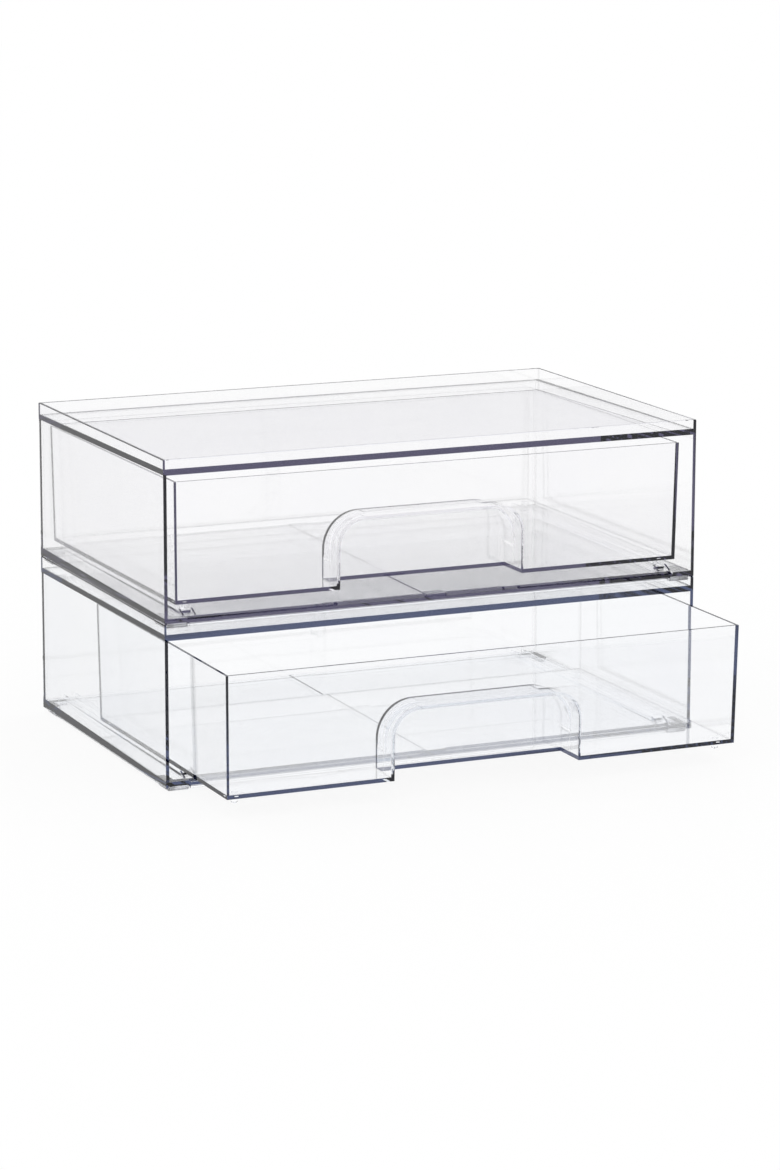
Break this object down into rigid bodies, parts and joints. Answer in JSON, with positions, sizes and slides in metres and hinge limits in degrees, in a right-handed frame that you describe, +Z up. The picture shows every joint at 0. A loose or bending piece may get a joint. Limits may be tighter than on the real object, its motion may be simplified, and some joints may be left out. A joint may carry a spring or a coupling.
{
  "type": "stackable drawer box",
  "caption": "Clear stackable drawer boxes: rimmed open-front cases, each with a pull-out tray that has a finger pocket in its front wall.",
  "frame": {"origin": "middle of the lower case's footprint, on the surface that its feet stand on, 2.6 mm below the underside of its floor", "axes": "+X along the width, to the right as seen from the open front, +Y from the open front to the back wall, +Z up; each tray slides out along -Y"},
  "size_m": [0.4064, 0.3404, 0.2312],
  "materials": {
    "clear_plastic": "clear, polished, dark blue-grey where it is seen edge on",
    "soft_foot": "clear, slightly cloudy, satin"
  },
  "bodies": {
    "lower_module": {"lower_case": "clear_plastic", "lower_foot_front_left": "soft_foot", "lower_foot_front_right": "soft_foot", "lower_foot_rear_left": "soft_foot", "lower_foot_rear_right": "soft_foot"},
    "lower_drawer": {"lower_tray": "clear_plastic"},
    "upper_module": {"upper_case": "clear_plastic", "upper_foot_front_left": "soft_foot", "upper_foot_front_right": "soft_foot", "upper_foot_rear_left": "soft_foot", "upper_foot_rear_right": "soft_foot"},
    "upper_drawer": {"upper_tray": "clear_plastic"}
  },
  "joints": [
    {"name": "lower_drawer_slide", "type": "slide", "parent": "lower_module", "child": "lower_drawer", "axis": [0, -1, 0], "range_m": [-0.093, 0.097]},
    {"name": "upper_drawer_slide", "type": "slide", "parent": "upper_module", "child": "upper_drawer", "axis": [0, -1, 0], "range_m": [0, 0.19]},
    {"name": "upper_module_lift", "type": "slide", "parent": "lower_module", "child": "upper_module", "axis": [0, 0, 1], "range_m": [0, 0.04]}
  ]
}
